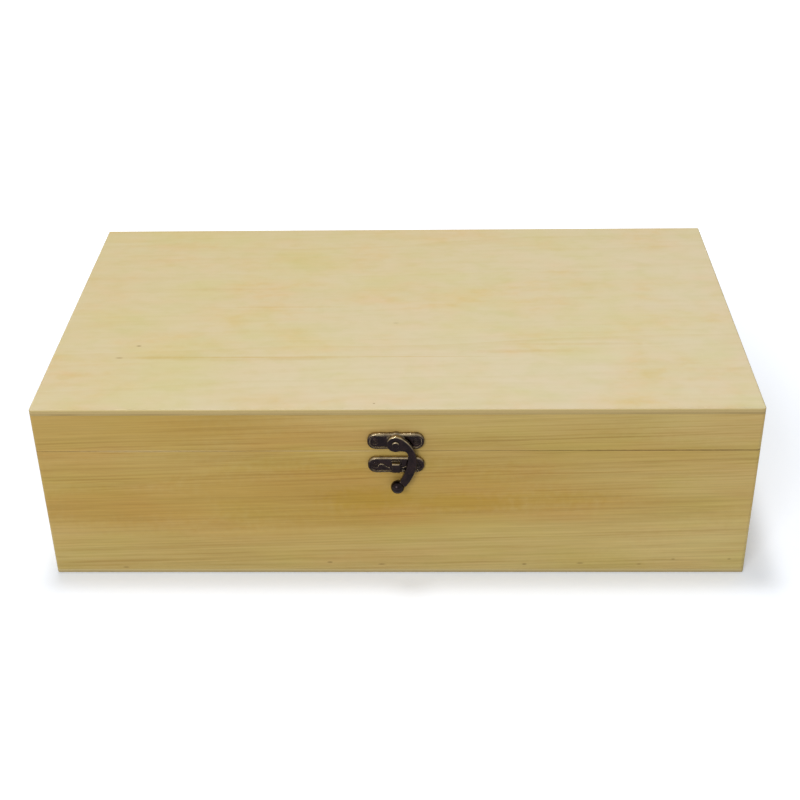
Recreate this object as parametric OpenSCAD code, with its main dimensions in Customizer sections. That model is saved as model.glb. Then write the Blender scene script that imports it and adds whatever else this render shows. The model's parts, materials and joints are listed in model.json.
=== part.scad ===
// Wooden wine box for two bottles that lie side by side. Pine walls are rabbeted and nailed at the corners,
// a plywood panel closes the top and the bottom, and a saw cut parts the lid from the base. Two butt hinges
// join them at the back, and a swing hook on the lid catches under a lug on the base at the front.
// +X runs along the length, -Y is the front and +Z is up. The origin is the middle of the underside.

/* [Box] */
// Length over the end walls
box_w = 350; // [330:1:400]
// Depth over the front and back walls
box_d = 200; // [188:1:240]
// Thickness of the pine walls
wall_t = 9; // [8.5:0.5:12]
// Height of the base walls, from the floor panel to the saw cut
base_wall_h = 72.4; // [66:0.1:100]
// Height of the lid walls, from the saw cut to the top panel
lid_wall_h = 20.4; // [17:0.1:30]
// Gap that the saw cut leaves between the closed lid and the base
seam_gap = 0.2; // [0.2:0.1:0.8]
// Thickness of the plywood panels
panel_t = 3; // [2.5:0.5:6]
// Radius sanded on the upright corners
corner_r = 2; // [0.5:0.5:3]
// Radius sanded on the upper rim of the top panel
top_rim_r = 0.8; // [0.4:0.1:1.2]
// Radius sanded on the lower rim of the floor panel
floor_rim_r = 1.8; // [0.4:0.1:1.9]

/* [Corner joints] */
// Thickness of the lip on a long board that covers the end of a side board
lip_t = 3; // [2.5:0.5:4]
// Diameter of a corner brad
brad_d = 1.2; // [1:0.1:1.6]
// Length of a corner brad
brad_l = 22; // [16:1:30]
// Depth that a brad is punched below the surface
brad_punch = 0.4; // [0.2:0.1:1]
// Brads in each corner of the base
base_brads = 3; // [2:1:4]
// Height of the outer brads above and below the edges of the base walls
brad_edge = 12; // [8:1:20]

/* [Divider] */
// Thickness of the divider between the bottles
divider_t = 4; // [3:0.5:6]
// Distance from the rim of the base down to the divider's top edge
divider_drop = 3.4; // [1:0.1:30]
// Depth of the groove that holds each end of the divider
groove_depth = 3; // [2:0.5:5]
// Play between the divider and the sides of its groove
groove_play = 0.15; // [0.05:0.05:0.3]
// Play between the divider's end and the bottom of its groove
groove_end_play = 0.3; // [0.1:0.1:0.8]

/* [Hinges] */
// Distance from each end of the box to the middle of its hinge
hinge_inset = 65; // [40:1:115]
// Length of a hinge along its pin
hinge_l = 25; // [22:1:36]
// Height of a leaf, from the pin's axis to the free edge
leaf_h = 10.5; // [9.5:0.5:14]
// Thickness of a leaf
leaf_t = 0.9; // [0.8:0.1:1.2]
// Radius on the free corners of a leaf
leaf_corner_r = 1.5; // [0.5:0.5:3]
// Diameter of the hinge pin
pin_d = 1.6; // [1.2:0.1:2]
// Thickness of the rolled knuckle around the pin
knuckle_wall = 0.8; // [0.6:0.1:1]
// Knuckles on a hinge, shared by its two leaves
knuckles = 5; // [3:2:7]
// Distance between the two screws of a leaf
leaf_screw_spacing = 15; // [12:0.5:17]
// Height of the leaf's screws from the pin's axis
leaf_screw_h = 6; // [5.5:0.5:6.5]

/* [Latch plates] */
// Length of each latch plate
plate_l = 27.2; // [26.5:0.1:32]
// Height of each latch plate
plate_h = 8.8; // [8.4:0.1:9.6]
// Thickness of each latch plate
plate_t = 2.2; // [1.8:0.1:2.6]
// Radius of a latch plate's corners
plate_corner_r = 4; // [2.5:0.1:4.2]
// Bevel around the front of a latch plate
plate_bevel = 0.6; // [0.3:0.1:0.8]
// Width of the raised rim, from the plate's edge to its sunk field
plate_rim = 1.2; // [1:0.1:1.4]
// Depth of the sunk field
field_depth = 0.6; // [0.3:0.1:0.8]
// Distance between the two screws of a plate
plate_screw_spacing = 20; // [19:0.1:21]
// Height of the hook plate's middle above the saw cut
hook_plate_rise = 6.5; // [5.5:0.1:9]
// Drop from the saw cut to the catch plate's middle
catch_plate_drop = 7.1; // [6:0.1:8]
// Radius of the pad that carries the hook
pad_r = 4.8; // [4.5:0.1:5]
// Width of the catch lug
lug_w = 3.9; // [3:0.1:4.5]
// Height of the catch lug
lug_h = 5.2; // [4:0.1:6]
// Length that the lug stands out of its plate
lug_l = 3; // [2.8:0.1:3.6]
// Bevel around the lug
lug_bevel = 0.5; // [0.2:0.1:0.8]

/* [Hook] */
// Thickness of the hook's arm
hook_t = 2.4; // [2:0.1:3]
// Radius of the boss around the rivet
boss_r = 4.4; // [4:0.1:4.6]
// Distance of the knob's middle below the rivet
knob_drop = 25.1; // [24.4:0.1:27]
// Distance of the knob's middle to the right of the rivet
knob_offset = 0.6; // [0:0.1:1]
// Radius of the knob
knob_r = 3.4; // [3:0.1:3.6]
// Gap between the knob and the wood
knob_clear = 0.4; // [0.3:0.1:0.8]
// Radius of the arm's outer edge where it curves down from the boss
arm_outer_r = 16; // [15:0.5:18]
// Slant of the arm's straight run to the knob, in degrees from upright
arm_slant = 26; // [23:1:28]
// Distance of the straight run's outer edge from the knob's middle
run_reach = 3.5; // [3.2:0.1:3.7]
// Radius of the arm's inner edge
arm_inner_r = 30; // [27:1:36]
// Distance of the arm's inner edge to the right of the rivet
throat_reach = 5.8; // [5.5:0.1:6.2]
// Radius at the top of the throat
throat_r = 2.4; // [2:0.1:3.2]
// Bevel along the front of the arm
hook_bevel = 0.5; // [0.3:0.1:0.8]
// Gap between the hook and the pad behind it
hook_gap = 0.15; // [0.1:0.05:0.3]
// Diameter of the rivet
rivet_d = 2.5; // [2:0.1:3]
// Diameter of the rivet's head
rivet_head_d = 3.8; // [3.4:0.1:4.4]

/* [Screws] */
// Length of a screw below its countersunk head's face
screw_l = 8; // [6:0.5:8.5]
// Diameter of a screw's shank
screw_d = 1.7; // [1.4:0.1:2]
// Diameter of a screw's head
screw_head_d = 3.4; // [3:0.1:3.8]
// Depth of a screw's countersunk head
screw_head_h = 0.8; // [0.6:0.1:0.8]
// Rise of the domed face of a head
screw_dome = 0.2; // [0.1:0.05:0.3]

/* [Fits] */
// Radial play between a hinge or rivet pin and the bore that turns on it
pin_play = 0.05; // [0.02:0.01:0.1]
// Radial play around a screw, nail or fixed rivet
seat_play = 0.02; // [0.01:0.01:0.1]
// Gap between neighbouring knuckles, and between the knuckles and the wood
knuckle_gap = 0.15; // [0.1:0.05:0.3]

/* [Hidden] */
$fn = 48;

pine = "#c8ab6c";
plywood = "#e0d0a4";
divider_ply = "#d8c496";
bronze = "#4a3a2c";
steel = "#8d8a84";

// Heights that the wooden parts share
base_top = panel_t + base_wall_h;
lid_bottom = base_top + seam_gap;
lid_top = lid_bottom + lid_wall_h;
seam_z = base_top + seam_gap / 2;
inner_w = box_w - 2 * wall_t;
divider_l = inner_w + 2 * (groove_depth - groove_end_play);
divider_h = base_wall_h - divider_drop;

// Hinge: the axis stands off the back wall by the knuckle and its gap
pin_r = pin_d / 2;
knuckle_r = pin_r + pin_play + knuckle_wall;
axis_off = knuckle_r + knuckle_gap;
leaf_root = knuckle_r + 2 * knuckle_gap;
knuckle_pitch = hinge_l / knuckles;
pin_head_t = 0.6;
pin_head_lip = 0.4;
pin_head_r = pin_r + pin_head_lip;

// Screws and brads
screw_r = screw_d / 2;
screw_tip = 2;
cross_w = 0.5;
cross_l = 2.1;
cross_depth = 0.5;
brad_r = brad_d / 2;
brad_inset = (wall_t - lip_t) / 2;
point_r = 0.15;

// How far a cut runs past what it cuts, and how far two curves cross where one runs on into the other
over = 1;
blend = 0.05;

// Latch, seen from the front with its rivet at the origin
hook_z = plate_t + hook_gap;
bevel_z = hook_t - hook_bevel;
throat_rise = 0.3;
rivet_r = rivet_d / 2;
rivet_head_z = hook_z + hook_t + hook_gap;
rivet_head_h = 0.8;
rivet_tail_t = 0.6;
rivet_tail_lip = 0.8;
rivet_tail_r = rivet_r + rivet_tail_lip;
knob = [knob_offset, -knob_drop];
knob_bury = 0.5;
run_x = arm_outer_r - blend;
run_w = run_reach + knob_r - knob_bury;
run_out = [cos(arm_slant), -sin(arm_slant)];
run_along = [sin(arm_slant), cos(arm_slant)];
arm_reach = arm_outer_r - boss_r + blend;
arm_turn = arm_slant + acos((run_out * knob + run_reach - run_x) / arm_reach);
arm_centre = arm_reach * [cos(arm_turn), -sin(arm_turn)];
run_l = (arm_centre - knob) * run_along;
run_top = arm_centre - knob_r * run_along;
throat_corner = [throat_reach + blend - throat_r, throat_rise - boss_r - throat_r];
throat_centre = [throat_reach - arm_inner_r, throat_corner.y];
lug_web = 0.7;

// Heights of the brads in a wall: a single one sits in the middle, more are spread evenly between the edges
function brad_heights(bottom, top, edge, count) =
  count == 1 ? [(bottom + top) / 2]
             : [for (i = [0 : count - 1]) bottom + edge + i * (top - bottom - 2 * edge) / (count - 1)];
base_brad_z = brad_heights(panel_t, base_top, brad_edge, base_brads);
lid_brad_z = brad_heights(lid_bottom, lid_top, brad_edge, 1);

// A rectangle with true round corners
module rounded_rect(w, h, r) {
  square([w - 2 * r, h], center = true);
  square([w, h - 2 * r], center = true);
  for (x = [-1, 1], y = [-1, 1]) translate([x * (w / 2 - r), y * (h / 2 - r)]) circle(r);
}

// A slab of a rounded rectangle whose front edge is bevelled
module bevelled_slab(w, h, r, t, bevel) {
  linear_extrude(t - bevel) rounded_rect(w, h, r);
  translate([0, 0, t - bevel]) {
    for (x = [-1, 1], y = [-1, 1])
      translate([x * (w / 2 - r), y * (h / 2 - r), 0]) cylinder(h = bevel, r1 = r, r2 = r - bevel);
    bevelled_bar(w - 2 * r, h, bevel);
    rotate(90) bevelled_bar(h - 2 * r, w, bevel);
  }
}

// A bar along X whose two long sides lean in by its own height
module bevelled_bar(l, w, h)
  rotate([90, 0, 90]) linear_extrude(l, center = true)
    polygon([[-w / 2, 0], [w / 2, 0], [w / 2 - h, h], [-w / 2 + h, h]]);

// ---------------------------------------------------------------- wooden parts

// The plan of the whole box, with its sanded corners
module box_plan(z, h) translate([0, 0, z]) linear_extrude(h) rounded_rect(box_w, box_d, corner_r);

// The section of a panel w wide, with its two upper rims sanded to the radius r
module panel_section(w, r) {
  translate([-w / 2, 0]) square([w, panel_t - r]);
  translate([-w / 2 + r, 0]) square([w - 2 * r, panel_t]);
  for (x = [-1, 1]) translate([x * (w / 2 - r), panel_t - r]) circle(r);
}

// A plywood panel whose upper rim is sanded to the radius r
module panel(r) intersection() {
  box_plan(0, panel_t);
  rotate([90, 0, 0]) linear_extrude(box_d + 2 * over, center = true) panel_section(box_w, r);
  rotate([90, 0, 90]) linear_extrude(box_w + 2 * over, center = true) panel_section(box_d, r);
}

// A front or back board (side -1 or 1): full length, with a rabbet at each end for a side board
module long_board(side, z, h, brad_z) difference() {
  intersection() {
    box_plan(z, h);
    translate([-box_w / 2, side * (box_d - wall_t) / 2 - wall_t / 2, z]) cube([box_w, wall_t, h]);
  }
  for (x = [-1, 1])
    translate([x * (box_w - wall_t) / 2, side * (box_d / 2 - lip_t - wall_t / 2), z + h / 2])
      cube([wall_t, wall_t, h + 2 * over], center = true);
  for (x = [-1, 1]) brad_holes(x, side, brad_z);
}

// An end board (side -1 or 1): it fits between the lips, and a groove takes the divider
module end_board(side, z, h, brad_z) difference() {
  intersection() {
    box_plan(z, h);
    translate([side * (box_w - wall_t) / 2, 0, z + h / 2])
      cube([wall_t, box_d - 2 * lip_t, h], center = true);
  }
  translate([side * (inner_w / 2), 0, z + h / 2])
    cube([2 * groove_depth, divider_t + 2 * groove_play, h + 2 * over], center = true);
  for (y = [-1, 1]) brad_holes(side, y, brad_z);
}

// Places its child at each brad of one corner, with +Z pointing out of the end wall
module at_brads(side_x, side_y, heights)
  for (z = heights)
    translate([side_x * (box_w / 2 - brad_punch), side_y * (box_d / 2 - lip_t - brad_inset), z])
      rotate([0, side_x * 90, 0]) children();

// The holes of one corner's brads, open to the outside
module brad_holes(side_x, side_y, heights) at_brads(side_x, side_y, heights)
  translate([0, 0, -brad_l]) cylinder(h = brad_l + brad_punch + over, r = brad_r + seat_play);

// The brads of all four corners
module corner_brads(heights) color(steel)
  for (x = [-1, 1], y = [-1, 1]) at_brads(x, y, heights) {
    translate([0, 0, -brad_l + brad_d]) cylinder(h = brad_l - brad_d, r = brad_r);
    translate([0, 0, -brad_l]) cylinder(h = brad_d, r1 = point_r, r2 = brad_r);
  }

module base_floor_panel() color(plywood) translate([0, 0, panel_t]) mirror([0, 0, 1]) panel(floor_rim_r);
module lid_top_panel() color(plywood) translate([0, 0, lid_top]) panel(top_rim_r);

module base_front_wall() color(pine) difference() {
  long_board(-1, panel_t, base_wall_h, base_brad_z);
  on_front(-catch_plate_drop) plate_screw_places() screw_pilot(plate_t - field_depth);
}

module base_back_wall() color(pine) difference() {
  long_board(1, panel_t, base_wall_h, base_brad_z);
  for (side = [-1, 1]) on_back(side) leaf_screw_places(-1) screw_pilot(leaf_t);
}

module base_left_wall() color(pine) end_board(-1, panel_t, base_wall_h, base_brad_z);
module base_right_wall() color(pine) end_board(1, panel_t, base_wall_h, base_brad_z);
module base_corner_brads() corner_brads(base_brad_z);

module lid_front_rail() color(pine) difference() {
  long_board(-1, lid_bottom, lid_wall_h, lid_brad_z);
  on_front(hook_plate_rise) plate_screw_places() screw_pilot(plate_t - field_depth);
}

module lid_back_rail() color(pine) difference() {
  long_board(1, lid_bottom, lid_wall_h, lid_brad_z);
  for (side = [-1, 1]) on_back(side) leaf_screw_places(1) screw_pilot(leaf_t);
}

module lid_left_rail() color(pine) end_board(-1, lid_bottom, lid_wall_h, lid_brad_z);
module lid_right_rail() color(pine) end_board(1, lid_bottom, lid_wall_h, lid_brad_z);
module lid_corner_brads() corner_brads(lid_brad_z);

// The divider stands on the floor panel with its ends in the grooves
module bottle_divider() color(divider_ply)
  translate([-divider_l / 2, -divider_t / 2, panel_t]) cube([divider_l, divider_t, divider_h]);

// ---------------------------------------------------------------- screws

// A countersunk screw. The rim of its head lies at z = 0 and it points down.
module screw() difference() {
  union() {
    translate([0, 0, -screw_head_h]) cylinder(h = screw_head_h, r1 = screw_r, r2 = screw_head_d / 2);
    cylinder(h = screw_dome, r1 = screw_head_d / 2, r2 = screw_head_d / 2 - 2 * screw_dome);
    translate([0, 0, -screw_l + screw_tip]) cylinder(h = screw_l - screw_tip, r = screw_r);
    translate([0, 0, -screw_l]) cylinder(h = screw_tip, r1 = point_r, r2 = screw_r);
  }
  for (turn = [0, 90]) rotate(turn)
    translate([-cross_l / 2, -cross_w / 2, screw_dome - cross_depth]) cube([cross_l, cross_w, over]);
}

// The countersunk hole for a screw, through metal of thickness t that ends at z = 0
module screw_hole(t) {
  translate([0, 0, -t - over]) cylinder(h = t + over, r = screw_r + 2 * seat_play);
  translate([0, 0, -screw_head_h])
    cylinder(h = screw_head_h, r1 = screw_r + 2 * seat_play, r2 = screw_head_d / 2 + 2 * seat_play);
  cylinder(h = over, r = screw_head_d / 2 + 2 * seat_play);
}

// The pilot hole for a screw whose head lies seat above the wood's face at z = 0
module screw_pilot(seat) translate([0, 0, seat - screw_l - 2 * seat_play])
  cylinder(h = screw_l - seat + 2 * seat_play + over, r = screw_r + seat_play);

// ---------------------------------------------------------------- hinges

// Puts its child on the back wall at one hinge (side -1 or 1): +Z points out of the wall, +Y up from the cut
module on_back(side)
  translate([side * (box_w / 2 - hinge_inset), box_d / 2, seam_z]) rotate([90, 0, 180]) children();

module leaf_screw_places(up)
  for (x = [-1, 1]) translate([x * leaf_screw_spacing / 2, up * leaf_screw_h, 0]) children();

// One leaf of a hinge, up (1) or down (-1), with every second knuckle starting at first
module hinge_leaf(up, first) color(bronze) difference() {
  union() {
    translate([0, up * (leaf_root + leaf_h) / 2, 0]) linear_extrude(leaf_t) leaf_plan(up);
    for (k = [first : 2 : knuckles - 1]) {
      x0 = -hinge_l / 2 + k * knuckle_pitch + (k > 0 ? knuckle_gap / 2 : 0);
      x1 = -hinge_l / 2 + (k + 1) * knuckle_pitch - (k < knuckles - 1 ? knuckle_gap / 2 : 0);
      translate([x0, 0, axis_off]) rotate([0, 90, 0]) cylinder(h = x1 - x0, r = knuckle_r);
      translate([x0, up > 0 ? 0 : -leaf_root - over / 2, 0]) cube([x1 - x0, leaf_root + over / 2, leaf_t]);
    }
  }
  translate([-hinge_l / 2 - over, 0, axis_off]) rotate([0, 90, 0])
    cylinder(h = hinge_l + 2 * over, r = pin_r + pin_play);
  leaf_screw_places(up) translate([0, 0, leaf_t]) screw_hole(leaf_t);
}

// The flat of a leaf, round at its two free corners only
module leaf_plan(up) {
  h = leaf_h - leaf_root;
  rounded_rect(hinge_l, h, leaf_corner_r);
  translate([0, -up * h / 4]) square([hinge_l, h / 2], center = true);
}

module hinge_pin() color(bronze) translate([0, 0, axis_off]) rotate([0, 90, 0]) {
  cylinder(h = hinge_l + 2 * knuckle_gap, r = pin_r, center = true);
  for (end = [-1, 1]) translate([0, 0, end * (hinge_l / 2 + knuckle_gap)]) rotate([end > 0 ? 0 : 180, 0, 0])
    cylinder(h = pin_head_t, r1 = pin_head_r, r2 = pin_head_r - pin_head_t / 2);
}

module leaf_screws(up) color(bronze) leaf_screw_places(up) translate([0, 0, leaf_t]) screw();

// ---------------------------------------------------------------- latch

// Puts its child on the front wall, rise above the cut: +Z points out of the wall and +Y up
module on_front(rise) translate([0, -box_d / 2, seam_z + rise]) rotate([90, 0, 0]) children();

module plate_screw_places() for (x = [-1, 1]) translate([x * plate_screw_spacing / 2, 0, 0]) children();

// The cast plate of either latch half: bevelled, with a sunk field and two countersunk holes
module latch_plate() difference() {
  bevelled_slab(plate_l, plate_h, plate_corner_r, plate_t, plate_bevel);
  translate([0, 0, plate_t - field_depth]) linear_extrude(field_depth + over)
    rounded_rect(plate_l - 2 * plate_rim, plate_h - 2 * plate_rim, plate_corner_r - plate_rim);
  plate_screw_places() translate([0, 0, plate_t - field_depth]) screw_hole(plate_t);
}

// The upper plate, with the round pad that carries the hook and the seat of the rivet
module hook_plate() color(bronze) on_front(hook_plate_rise) difference() {
  union() {
    latch_plate();
    cylinder(h = plate_t - plate_bevel, r = pad_r);
    translate([0, 0, plate_t - plate_bevel]) cylinder(h = plate_bevel, r1 = pad_r, r2 = pad_r - plate_bevel);
  }
  translate([0, 0, -over]) cylinder(h = plate_t + 2 * over, r = rivet_r + seat_play);
  translate([0, 0, -over]) cylinder(h = rivet_tail_t + over + seat_play, r = rivet_tail_r + seat_play);
}

// The lower plate, cast in one with the lug that the hook catches under
module catch_plate() color(bronze) on_front(-catch_plate_drop) {
  latch_plate();
  translate([-lug_w / 2 - lug_web, -plate_h / 2 + plate_rim / 2, 0])
    cube([lug_w + 2 * lug_web, plate_h - plate_rim, plate_t]);
  translate([0, 0, plate_t + lug_l - lug_bevel]) intersection() {
    bevelled_bar(lug_w, lug_h, lug_bevel);
    rotate(90) bevelled_bar(lug_h, lug_w, lug_bevel);
  }
  translate([-lug_w / 2, -lug_h / 2, 0]) cube([lug_w, lug_h, plate_t + lug_l - lug_bevel]);
}

module hook_plate_screws() color(bronze) on_front(hook_plate_rise)
  plate_screw_places() translate([0, 0, plate_t - field_depth]) screw();
module catch_plate_screws() color(bronze) on_front(-catch_plate_drop)
  plate_screw_places() translate([0, 0, plate_t - field_depth]) screw();

// The rivet: a tail set in the back of the plate, a shank and a domed head
module hook_rivet() color(bronze) on_front(hook_plate_rise) {
  cylinder(h = rivet_tail_t, r = rivet_tail_r);
  cylinder(h = rivet_head_z + rivet_head_h / 4, r = rivet_r);
  translate([0, 0, rivet_head_z]) {
    cylinder(h = rivet_head_h / 2, r = rivet_head_d / 2);
    translate([0, 0, rivet_head_h / 2])
      cylinder(h = rivet_head_h / 2, r1 = rivet_head_d / 2, r2 = rivet_head_d / 2 - rivet_head_h / 2);
  }
}

// One layer of the arm, h thick, whose edges lean in by lean for each unit of height. Its outer edge curves
// down from the boss and runs straight to the knob, and its inner edge is the side of the throat.
module arm_layer(h, lean) {
  difference() {
    union() {
      intersection() {
        translate(arm_centre) cylinder(h = h, r1 = arm_outer_r, r2 = arm_outer_r - lean * h);
        linear_extrude(h) polygon([
          [0, 0], -arm_centre, [arm_outer_r, 2 * boss_r], run_top + 2 * arm_outer_r * run_out,
          run_top + (run_x - run_w) * run_out
        ]);
      }
      translate(arm_centre) rotate([90, 0, -arm_slant]) linear_extrude(run_l) polygon([
        [run_x - run_w, 0], [run_x, 0], [run_x - lean * h, h], [run_x - run_w, h]
      ]);
    }
    translate([0, 0, -over]) throat(h + over, 0);
    throat(h, lean);
  }
  cylinder(h = h, r1 = boss_r, r2 = boss_r - lean * h);
}

// The open throat of a layer that is h thick, whose sides lean out by lean for each unit of height
module throat(h, lean) {
  cut_h = h + over;
  intersection() {
    translate(throat_centre) cylinder(h = cut_h, r1 = arm_inner_r, r2 = arm_inner_r + lean * cut_h);
    translate([-arm_inner_r, throat_corner.y - 2 * knob_drop, 0])
      cube([2 * arm_inner_r, 2 * knob_drop + throat_r / 2, cut_h]);
  }
  translate(throat_corner) cylinder(h = cut_h, r1 = throat_r, r2 = throat_r + lean * cut_h);
  translate(throat_corner) rotate([90, 0, -90]) linear_extrude(throat_corner.x + boss_r)
    polygon([[over, 0], [blend - throat_r, 0], [blend - throat_r - lean * cut_h, cut_h], [over, cut_h]]);
}

// The swing hook: a boss on the rivet, a crescent arm and a round knob
module swing_hook() color(bronze) on_front(hook_plate_rise) difference() {
  union() {
    translate([0, 0, hook_z]) {
      arm_layer(bevel_z, 0);
      translate([0, 0, bevel_z]) arm_layer(hook_t - bevel_z, 1);
    }
    translate([knob.x, knob.y, knob_r + knob_clear]) rotate(-90 - arm_slant) sphere(knob_r);
  }
  translate([0, 0, hook_z - over]) cylinder(h = hook_t + 2 * over, r = rivet_r + pin_play);
}

// ---------------------------------------------------------------- nodes

base_floor_panel();
base_front_wall();
base_back_wall();
base_left_wall();
base_right_wall();
base_corner_brads();
bottle_divider();
catch_plate();
catch_plate_screws();
on_back(-1) hinge_leaf(-1, 0);  // left_hinge_base_leaf
on_back(-1) hinge_pin();  // left_hinge_pin
on_back(-1) leaf_screws(-1);  // left_hinge_base_screws
on_back(1) hinge_leaf(-1, 0);  // right_hinge_base_leaf
on_back(1) hinge_pin();  // right_hinge_pin
on_back(1) leaf_screws(-1);  // right_hinge_base_screws
lid_top_panel();
lid_front_rail();
lid_back_rail();
lid_left_rail();
lid_right_rail();
lid_corner_brads();
on_back(-1) hinge_leaf(1, 1);  // left_hinge_lid_leaf
on_back(-1) leaf_screws(1);  // left_hinge_lid_screws
on_back(1) hinge_leaf(1, 1);  // right_hinge_lid_leaf
on_back(1) leaf_screws(1);  // right_hinge_lid_screws
hook_plate();
hook_plate_screws();
hook_rivet();
swing_hook();
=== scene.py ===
# %% [markdown]
# # Dressing a wooden wine box
#
# This lesson gives a CAD model of a wooden wine box its real looks. The real box is glued up from pine
# boards and thin plywood panels, sawn open into a base and a lid, and fitted with a swing hook of bronzed
# zinc. The CAD model already has every board, screw and hinge in its place, so the work here is mostly
# surfaces: how pine, plywood, sanded edges and worn plating look, and how to write each as shader nodes.
#
# Everything is in metres. +X runs along the box, -Y is its front and +Z is up.

import json
import math

import bmesh
import bpy
from mathutils import Matrix, Vector

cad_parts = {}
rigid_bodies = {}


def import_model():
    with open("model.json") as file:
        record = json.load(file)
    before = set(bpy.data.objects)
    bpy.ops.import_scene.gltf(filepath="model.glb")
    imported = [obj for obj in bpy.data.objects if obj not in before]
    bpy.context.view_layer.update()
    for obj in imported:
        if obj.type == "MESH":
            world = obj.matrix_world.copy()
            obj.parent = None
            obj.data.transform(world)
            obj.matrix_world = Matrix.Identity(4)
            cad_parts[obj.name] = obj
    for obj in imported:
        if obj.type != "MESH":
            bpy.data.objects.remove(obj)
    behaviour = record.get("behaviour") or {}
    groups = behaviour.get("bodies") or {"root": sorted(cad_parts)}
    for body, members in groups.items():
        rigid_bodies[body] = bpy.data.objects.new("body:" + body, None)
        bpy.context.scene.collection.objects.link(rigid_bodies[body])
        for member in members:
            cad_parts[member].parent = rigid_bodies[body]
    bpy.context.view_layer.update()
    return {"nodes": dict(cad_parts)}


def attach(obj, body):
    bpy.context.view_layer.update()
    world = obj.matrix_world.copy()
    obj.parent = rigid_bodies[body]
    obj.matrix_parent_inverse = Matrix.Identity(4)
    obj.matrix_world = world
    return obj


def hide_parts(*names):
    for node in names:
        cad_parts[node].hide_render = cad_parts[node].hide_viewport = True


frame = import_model()
nodes = frame["nodes"]
scene_objects = bpy.context.scene.collection.objects
MM = 0.001

# %% [markdown]
# ## The camera
#
# A product photo fixes the camera in more ways than its angle: how fast parallel edges run together says
# how near the camera stood. The place and the directions below were found by fitting a pinhole camera to
# the six corners of the box that the photo shows. A camera looks along its own -Z, with +X to its right, so
# the two measured directions give the whole matrix.

# %% Camera
camera_place = Vector((18.20, -659.61, 453.51)) * MM
look = Vector((-0.02397, 0.84815, -0.52921)).normalized()
right = Vector((0.99971, 0.01866, -0.01537)).normalized()
up = right.cross(look).normalized()

camera_data = bpy.data.cameras.new("photo_camera")
camera_data.sensor_width = 36
camera_data.lens = 63.06
camera_data.clip_start = 0.01
camera_data.clip_end = 20
camera = bpy.data.objects.new("photo_camera", camera_data)
scene_objects.link(camera)
camera.matrix_world = Matrix((right, up, -look)).transposed().to_4x4()
camera.location = camera_place
bpy.context.scene.camera = camera
bpy.context.scene.view_settings.view_transform = "Standard"
print("camera", [round(v, 3) for v in camera_place], "lens", camera_data.lens, "mm")

# %% [markdown]
# ## Helpers for shader nodes
#
# A material is a tree of nodes. Written out in full, each node needs a line to make it, a line for each
# setting and a line for each wire. `put` does all of it at once: a number goes on a socket and a socket
# that is handed in becomes a wire. `calc` is the same for the Math node, which these materials use most,
# and `remap` for the Map Range node, which stretches one range of values over another.


# %% Helpers for nodes
def put(tree, kind, inputs=None, **settings):
    node = tree.nodes.new(kind)
    for name, value in settings.items():
        setattr(node, name, value)
    for key, value in (inputs or {}).items():
        if isinstance(value, bpy.types.NodeSocket):
            tree.links.new(value, node.inputs[key])
        else:
            node.inputs[key].default_value = value
    return node


def calc(tree, operation, a, b=0.0, c=None, clamp=False):
    inputs = {0: a, 1: b} if c is None else {0: a, 1: b, 2: c}
    return put(tree, "ShaderNodeMath", inputs, operation=operation, use_clamp=clamp).outputs[0]


def remap(tree, value, low, high, to_low=0.0, to_high=1.0, smooth=False):
    inputs = {"Value": value, "From Min": low, "From Max": high, "To Min": to_low, "To Max": to_high}
    kind = "SMOOTHSTEP" if smooth else "LINEAR"
    return put(tree, "ShaderNodeMapRange", inputs, interpolation_type=kind).outputs[0]


def times(tree, a, b):
    return calc(tree, "MULTIPLY", a, b)


def strongest(tree, masks):
    total = masks[0]
    for mask in masks[1:]:
        total = calc(tree, "MAXIMUM", total, mask)
    return total


def vector_math(tree, operation, a, b):
    return put(tree, "ShaderNodeVectorMath", {0: a, 1: b}, operation=operation).outputs


print("helpers for values ready")

# %% [markdown]
# ## Helpers for colours
#
# Colours read off a screen are packed for the eye, and a shader wants them as plain amounts of light, so
# `srgb` unpacks them. `blend_colors` lays one colour over another, as paint does. `tint` multiplies instead,
# as a stain does: what lies below still shows. The Mix node has sockets for numbers, vectors and colours,
# and those for colours have the numbers named here.

# %% Helpers for colours
MIX_SHARE, MIX_A, MIX_B, MIX_RESULT = 0, 6, 7, 2


def srgb(red, green, blue):
    """A colour as read off a screen, 0 to 255, turned into the linear values that shaders use."""
    shares = [v / 255 for v in (red, green, blue)]
    return (*(v / 12.92 if v <= 0.04 else ((v + 0.055) / 1.055) ** 2.4 for v in shares), 1.0)


def blend_colors(tree, share, a, b, kind="MIX"):
    inputs = {MIX_SHARE: share, MIX_A: a, MIX_B: b}
    return put(tree, "ShaderNodeMix", inputs, data_type="RGBA", blend_type=kind).outputs[MIX_RESULT]


def tint(tree, share, color, red, green, blue):
    return blend_colors(tree, share, color, (red, green, blue, 1.0), "MULTIPLY")


def shade_by(tree, color, value, darkest, lightest):
    """The colour times a grey, which goes from darkest to lightest as the value goes from 0 to 1."""
    grey = remap(tree, value, 0.0, 1.0, darkest, lightest)
    shade = put(tree, "ShaderNodeCombineXYZ", {"X": grey, "Y": grey, "Z": grey}).outputs[0]
    return blend_colors(tree, 1.0, color, shade, "MULTIPLY")


print("helpers for colours ready")

# %% [markdown]
# ## Helpers for groups and materials
#
# A node group is a shader's own function: it has named inputs and outputs, and each material that uses it
# sets its own values. Every effect below that more than one material needs is such a group. A new material
# comes with its Principled shader in place. Object coordinates are the CAD model's own metres here, so a
# pattern stays on its board when the lid opens.


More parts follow.
